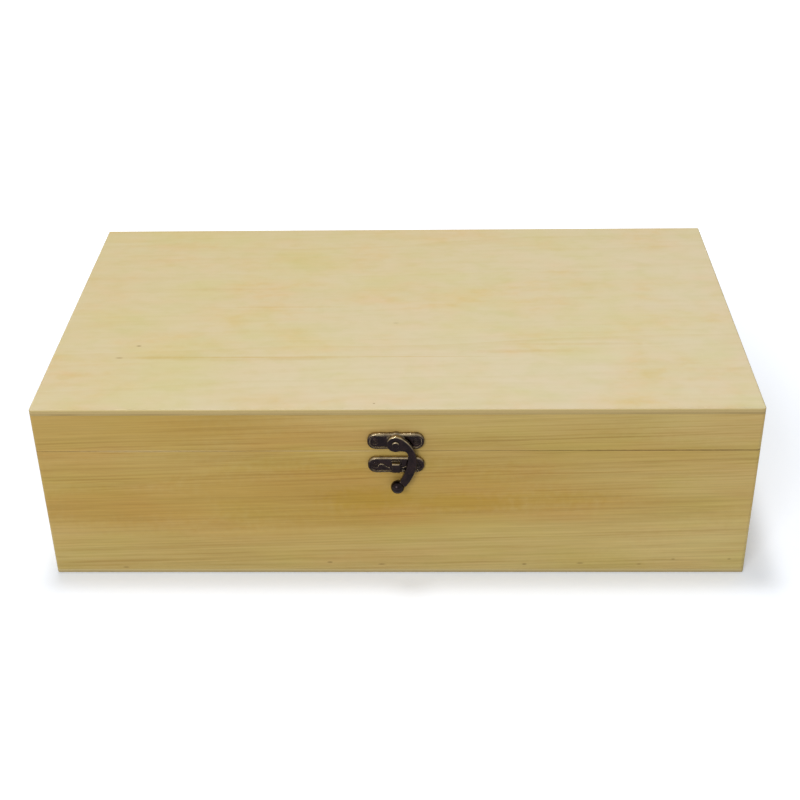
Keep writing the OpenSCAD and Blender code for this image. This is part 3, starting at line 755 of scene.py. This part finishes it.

# %% [markdown]
# ## Worn bronze and painted sheen
#
# The plating itself is nearly black metal with a brown cast, dull where grime sits and glossy between, under
# a thin lacquer that a weak coat gives. What faces up is made lighter, on the whole piece or only in given
# places: partly the rub of every hand that reaches for the latch, partly a painted highlight of the light from
# above. A few places also wear more at the edges than the rest. Small screws and hinges are touched less, so
# they keep more plating.


# %% Material: worn bronze with painted sheen
def bronze_material(name, seed, amount, reach_mm, top_rub_and_highlight=0.0, rub_and_sheen_places=(), worn_places=()):
    material, tree, shader, coords = new_material(name)
    place = coords["Object"]
    if worn_places:
        amount = calc(tree, "ADD", marks(tree, place, worn_places, 0.2), amount)
    worn = use_group(tree, wear, {"Place": place, "Reach": reach_mm * MM, "Amount": amount, "Seed": seed})
    facing = put(tree, "ShaderNodeSeparateXYZ", {0: coords["Normal"]}).outputs["Z"]
    # what faces up turns lighter: partly rub wear, partly a painted highlight of the light from above
    top_rub_and_sheen = times(tree, remap(tree, facing, 0.2, 0.7), top_rub_and_highlight)
    top_rub_and_sheen = times(tree, top_rub_and_sheen, remap(tree, worn["Grime"], 0.0, 1.0, 1.0, 0.35))
    if rub_and_sheen_places:
        top_rub_and_sheen = times(tree, top_rub_and_sheen, marks(tree, place, rub_and_sheen_places, 0.2))
    wear_and_sheen = calc(tree, "MAXIMUM", worn["Worn"], top_rub_and_sheen)
    plating = blend_colors(tree, worn["Grime"], srgb(19, 9, 11), srgb(37, 23, 23))
    tree.links.new(blend_colors(tree, wear_and_sheen, plating, srgb(196, 176, 138)), shader.inputs["Base Color"])
    shader.inputs["Metallic"].default_value = 0.95
    shader.inputs["Coat Weight"].default_value = 0.16
    shader.inputs["Coat Roughness"].default_value = 0.10
    tree.links.new(remap(tree, worn["Grime"], 0.0, 1.0, 0.20, 0.36), shader.inputs["Roughness"])
    bump = put(tree, "ShaderNodeBump", {"Height": worn["Grime"], "Strength": 0.10, "Distance": 0.0001})
    tree.links.new(bump.outputs[0], shader.inputs["Normal"])
    return material


around_lug = ((0, -105, 68.4), (4.5, 2.4, 5.0), 0.8)
boss_and_upper_arm = ((3, -104, 82), (20, 16, 18), 1.0)
# the plates' tops, the scrolls' upper sides and the hook's boss and upper arm get this painted sheen as well as
# wear
latch_bronze = bronze_material("worn_bronze_painted_sheen", 2.0, 0.70, 0.50, 0.75, worn_places=[around_lug])
hook_bronze = bronze_material("rubbed_bronze_painted_sheen", 7.0, 1.0, 1.2, 1.0, [boss_and_upper_arm])
scroll_bronze = bronze_material("scroll_bronze", 2.5, 1.0, 1.0, 1.0)
screw_bronze = bronze_material("screw_bronze", 9.0, 0.22, 0.25)
hinge_bronze = bronze_material("hinge_bronze", 12.0, 0.5, 0.3)
print("made", [m.name for m in (latch_bronze, hook_bronze, scroll_bronze, screw_bronze, hinge_bronze)])

# %% [markdown]
# ## Latch plates, screws, rivet and hinges
#
# These keep their CAD shapes. Castings come out of the mould with plump edges, so the two plates are rounded
# most, and turned screws and pins least. The same three modifiers do it as on the boards.

# %% Dress the metal parts
metal_edges = {
    "hook_plate": (latch_bronze, 0.30), "catch_plate": (latch_bronze, 0.22), "hook_rivet": (latch_bronze, 0.12),
    "hook_plate_screws": (screw_bronze, 0.06), "catch_plate_screws": (screw_bronze, 0.06),
}
hinge_edges = {"base_leaf": 0.12, "lid_leaf": 0.12, "pin": 0.1, "base_screws": 0.06, "lid_screws": 0.06}
for side in ("left", "right"):
    for part_name, radius_mm in hinge_edges.items():
        metal_edges[f"{side}_hinge_{part_name}"] = (hinge_bronze, radius_mm)
for name, (material, radius_mm) in metal_edges.items():
    dress(name, material, radius_mm)
print("dressed", len(metal_edges), "metal parts")

# %% [markdown]
# ## The scrolls on the lower plate
#
# On each side of its lug the lower plate carries a small cast scroll, a low ridge that bends up and then down.
# A curve with a round section and a size that falls away at its ends makes such a ridge in one go. It lies
# half sunk in the plate's field and stays below the plate's rim, so the hook's arm passes over it.

# %% Scrolls beside the lug
field_y = -101.6 * MM
plate_z = 68.4 * MM
scroll_thick = 0.42 * MM
scroll_path = [  # distance from the middle in mm, height above the plate's middle in mm, share of the thickness
    (3.25, -1.6, 0.6), (4.45, -1.2, 1.0), (5.4, -0.65, 1.0), (6.35, 0.12, 1.1), (7.3, 0.4, 1.1),
    (8.05, 0.05, 0.9), (8.6, -0.65, 0.4),
]


def scroll(name, side):
    path = bpy.data.curves.new(name + "_path", "CURVE")
    path.dimensions = "3D"
    path.bevel_depth = scroll_thick
    path.bevel_resolution = 4
    path.resolution_u = 8
    path.use_fill_caps = True
    spline = path.splines.new("BEZIER")
    spline.bezier_points.add(len(scroll_path) - 1)
    for knot, (x, z, size) in zip(spline.bezier_points, scroll_path):
        knot.co = (side * x * MM, field_y, plate_z + z * MM)
        knot.handle_left_type = knot.handle_right_type = "AUTO"
        knot.radius = size
    drawn = bpy.data.objects.new(name + "_drawn", path)
    scene_objects.link(drawn)
    mesh = bpy.data.meshes.new_from_object(drawn.evaluated_get(bpy.context.evaluated_depsgraph_get()))
    bpy.data.objects.remove(drawn)
    for face in mesh.polygons:
        face.use_smooth = True
    mesh.materials.clear()
    mesh.materials.append(scroll_bronze)
    ridge = bpy.data.objects.new(name, mesh)
    scene_objects.link(ridge)
    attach(ridge, "base")
    return ridge


scrolls = [scroll("catch_scroll_left", -1), scroll("catch_scroll_right", 1)]
print("scrolls with", [len(ridge.data.polygons) for ridge in scrolls], "faces")

# %% [markdown]
# ## The brads
#
# The corner brads are bare steel wire, punched just below the wood. Only their small round heads show, dull
# and a little brown where the coat of varnish ran over them. One fine noise decides both where it is brown
# and where it is rough, because rust is both.

# %% Material: nail steel
steel, tree, shader, coords = new_material("brad_steel")
rust = put(tree, "ShaderNodeTexNoise", {"Vector": coords["Object"], "Scale": 900.0, "Detail": 4.0}).outputs[0]
rusty = blend_colors(tree, remap(tree, rust, 0.4, 0.65), srgb(128, 124, 118), srgb(104, 84, 62))
tree.links.new(rusty, shader.inputs["Base Color"])
tree.links.new(remap(tree, rust, 0.3, 0.7, 0.35, 0.6), shader.inputs["Roughness"])
shader.inputs["Metallic"].default_value = 0.85
for name in ("base_corner_brads", "lid_corner_brads"):
    dress(name, steel, 0.08)
print("brads are steel")

# %% [markdown]
# ## The hook's outline
#
# The real hook is one casting. Seen from the front it is a crescent: a round boss on the rivet runs over into
# a curved arm, and the arm ends in a ball. So the flat outline comes first, as smooth curves through a few
# measured points. All of the hook is made in millimetres with the rivet at the origin, because a remesh works
# badly on very small numbers, and it is set on the lid afterwards.

# %% The hook's outline
boss_radius = 4.4
outer_edge = [
    (0.5, 4.38), (2.6, 3.65), (4.4, 2.3), (6.0, 0.8), (7.4, -1.0), (8.5, -3.0), (9.3, -5.1), (9.85, -7.3),
    (10.1, -9.5), (10.05, -11.7), (9.75, -13.9), (9.15, -16.1), (8.25, -18.5), (7.3, -20.6), (6.2, -22.5),
    (4.9, -24.3), (3.2, -25.9),
]
inner_edge = [
    (0.3, -24.0), (1.5, -22.0), (2.6, -20.0), (3.5, -18.0), (4.25, -16.0), (4.85, -14.0), (5.3, -12.0),
    (5.6, -10.0), (5.78, -8.0), (5.8, -6.6), (5.45, -5.3), (4.6, -4.45), (3.4, -4.15), (2.4, -4.12),
]


def between(p, q, r, w, t):
    """From q to r as t goes from 0 to 1, on a bend that leans on p and w, the points beyond."""
    return 0.5 * (2 * q + (r - p) * t + (2 * p - 5 * q + 4 * r - w) * t * t
                  + (3 * q - p - 3 * r + w) * t ** 3)


def through(points, steps=5):
    curve = []
    padded = [points[0]] + points + [points[-1]]
    for four in zip(padded, padded[1:], padded[2:], padded[3:]):
        for k in range(steps):
            curve.append(tuple(between(*numbers, k / steps) for numbers in zip(*four)))
    return curve + [points[-1]]


boss_turn = [math.radians(-60 - k * 5) for k in range(43)]
outline = through(outer_edge) + through(inner_edge) + [
    (boss_radius * math.cos(a), boss_radius * math.sin(a)) for a in boss_turn]
print("the hook's outline has", len(outline), "points")

# %% [markdown]
# ## The hook's layers and its ball
#
# A solid can be raised from an outline by laying the same outline in layers and joining each to the next.
# Where the layers draw in towards the front, along a quarter of a circle, the edge comes out round all the
# way. The bore for the rivet is a stack of rings inside them, and a ball is added at the arm's end.


# %% The hook's layers and its ball
def drawn_in(points, distance):
    """The closed outline moved inwards, towards the metal."""
    moved = []
    for i, p in enumerate(points):
        run = Vector(points[(i + 1) % len(points)]) - Vector(points[i - 1])
        run.normalize()
        moved.append((p[0] + run.y * distance, p[1] - run.x * distance))
    return moved


arm_back, arm_thick, edge_round = 2.35, 2.4, 0.75
bore_radius, bore_points = 1.32, 48
ball_radius, ball_place = 3.38, (0.6, -25.1, 3.8)
bore = [(bore_radius * math.cos(k * math.tau / bore_points), bore_radius * math.sin(k * math.tau / bore_points))
        for k in range(bore_points)]
layers = [(0.2, 0.0), (0.0, 0.2), (0.0, arm_thick - edge_round)]  # how far drawn in, height above the back
for k in range(1, 6):
    a = math.pi / 2 * k / 5
    layers.append((edge_round * (1 - math.cos(a)), arm_thick - edge_round * (1 - math.sin(a))))

hook_mesh = bmesh.new()
loops, bores = [], []
for inwards, height in layers:
    z = arm_back + height
    loops.append([hook_mesh.verts.new((x, y, z)) for x, y in drawn_in(outline, inwards)])
    bores.append([hook_mesh.verts.new((x, y, z)) for x, y in bore])
for stack in (loops, bores):
    for a, b in zip(stack, stack[1:]):
        for i in range(len(a)):
            j = (i + 1) % len(a)
            hook_mesh.faces.new((a[i], a[j], b[j], b[i]))
for level in (0, -1):
    rims = [hook_mesh.edges.get((ring[i], ring[(i + 1) % len(ring)]))
            for ring in (loops[level], bores[level]) for i in range(len(ring))]
    bmesh.ops.triangle_fill(hook_mesh, edges=rims, use_beauty=True)
bmesh.ops.create_uvsphere(hook_mesh, u_segments=48, v_segments=32, radius=ball_radius,
                          matrix=Matrix.Translation(ball_place))
bmesh.ops.recalc_face_normals(hook_mesh, faces=hook_mesh.faces)
hook_data = bpy.data.meshes.new("hook")
hook_mesh.to_mesh(hook_data)
hook_mesh.free()
print("the hook's forms have", len(hook_data.polygons), "faces")

# %% [markdown]
# ## Weld the hook into one casting
#
# Arm and ball are still two forms that run through each other. A voxel remesh gives both one common skin,
# and a little smoothing rounds the places where they meet, as a mould does. The skin then has more faces
# than it needs, so it is thinned. The result takes the CAD hook's place and rides on the same body.

# %% Weld the hook and hang it on the lid
hook = bpy.data.objects.new("cast_hook", hook_data)
scene_objects.link(hook)
remesh = hook.modifiers.new("one_skin", "REMESH")
remesh.mode = "VOXEL"
remesh.voxel_size = 0.12
remesh.use_smooth_shade = True
relax = hook.modifiers.new("soft_corners", "CORRECTIVE_SMOOTH")
relax.smooth_type = "LENGTH_WEIGHTED"
relax.use_only_smooth = True
relax.iterations = 6
fewer = hook.modifiers.new("fewer_faces", "DECIMATE")
fewer.ratio = 0.30
cast = bpy.data.meshes.new_from_object(hook.evaluated_get(bpy.context.evaluated_depsgraph_get()))
hook.modifiers.clear()
hook.data = cast

# seen from the front, the mould's x and y are the box's x and z, and its height comes towards the viewer
rivet_place = Vector((0.0, -100.0, 82.0)) * MM
cast.transform(Matrix(
    ((MM, 0, 0, rivet_place.x), (0, 0, -MM, rivet_place.y), (0, MM, 0, rivet_place.z), (0, 0, 0, 1))))
for face in cast.polygons:
    face.use_smooth = True
cast.materials.clear()
cast.materials.append(hook_bronze)
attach(hook, "hook")
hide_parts("swing_hook")
print("cast hook:", len(cast.polygons), "faces")
print("cast hook in mm", [round(pick(v.co[i] for v in cast.vertices) / MM, 2)
                          for pick in (min, max) for i in range(3)])

# %% [markdown]
# ## Floor
#
# A product photo has no horizon: the background is plain white, and the box keeps a soft grey shadow. The
# floor does both at once. It is a pale matt surface, which throws light back up under the box and takes its
# shadow, and to the camera, to gloss and to glass it also glows. The glow is weak near the box, so that the
# shadow shows, and grows to full white away from it.

# %% Floor
floor_half_width = 6.0
floor_mesh = bmesh.new()
bmesh.ops.create_grid(floor_mesh, x_segments=2, y_segments=2, size=floor_half_width)
floor_data = bpy.data.meshes.new("studio_floor")
floor_mesh.to_mesh(floor_data)
floor_mesh.free()
floor = bpy.data.objects.new("studio_floor", floor_data)
scene_objects.link(floor)


def seen_plainly(tree):
    """1 for what the camera sees, straight, in gloss or through glass, and 0 for all other light."""
    rays = put(tree, "ShaderNodeLightPath").outputs
    return strongest(tree, [rays["Is Camera Ray"], rays["Is Glossy Ray"], rays["Is Transmission Ray"]])


floor_paint = bpy.data.materials.new("pale_floor")
floor_paint.use_nodes = True
tree = floor_paint.node_tree
tree.nodes.clear()
matt = put(tree, "ShaderNodeBsdfDiffuse", {"Color": (0.79, 0.83, 0.90, 1.0)}).outputs[0]
place = put(tree, "ShaderNodeTexCoord").outputs["Object"]
from_box = put(tree, "ShaderNodeVectorMath", {0: place}, operation="LENGTH").outputs["Value"]
strength = times(tree, seen_plainly(tree), remap(tree, from_box, 0.22, 0.6, 0.26, 1.0))
glow = put(tree, "ShaderNodeEmission", {"Strength": strength}).outputs[0]
paint = put(tree, "ShaderNodeAddShader", {0: matt, 1: glow}).outputs[0]
put(tree, "ShaderNodeOutputMaterial", {"Surface": paint})
floor.data.materials.append(floor_paint)
print("floor laid,", 2 * floor_half_width, "m wide")

# %% [markdown]
# ## World
#
# Round the floor lies a plain world. The camera, gloss and glass see it white, and the object gets a dimmer,
# slightly cool light from it on all sides, as from the pale walls of a studio. Were it white for everything,
# the box would be lit flat and too bright.

# %% World
world = bpy.data.worlds.new("white_studio")
bpy.context.scene.world = world
world.use_nodes = True
tree = world.node_tree
tree.nodes.clear()
dim = put(tree, "ShaderNodeBackground", {"Color": (0.98, 0.99, 1.0, 1.0), "Strength": 0.40}).outputs[0]
white = put(tree, "ShaderNodeBackground", {"Color": (1.0, 1.0, 1.0, 1.0), "Strength": 1.0}).outputs[0]
sky = put(tree, "ShaderNodeMixShader", {0: seen_plainly(tree), 1: dim, 2: white}).outputs[0]
put(tree, "ShaderNodeOutputWorld", {"Surface": sky})
print("world set")

# %% [markdown]
# ## Lamps
#
# Two lamps are enough. One nearly overhead makes the top the brightest face, as in the photo, and the soft
# shadow round the box. A larger one in front, a little to the left, lights the front board evenly and puts
# the small highlights on the latch. Their power is set so that a colour comes out about as it is written.


# %% Lamps
def softbox(name, place, size, watts):
    data = bpy.data.lights.new(name, "AREA")
    data.shape = "RECTANGLE"
    data.size, data.size_y = size
    data.energy = watts
    lamp = bpy.data.objects.new(name, data)
    scene_objects.link(lamp)
    lamp.location = place
    lamp.rotation_euler = (box_middle - Vector(place)).to_track_quat("-Z", "Y").to_euler()


box_middle = Vector((0, 0, 0.05))
softbox("key_from_above", (-0.12, 0.12, 1.9), (0.3, 0.3), 15.3)
softbox("fill_from_front_left", (-0.70, -1.80, 1.18), (0.8, 0.6), 16.5)
print("lamps hung")
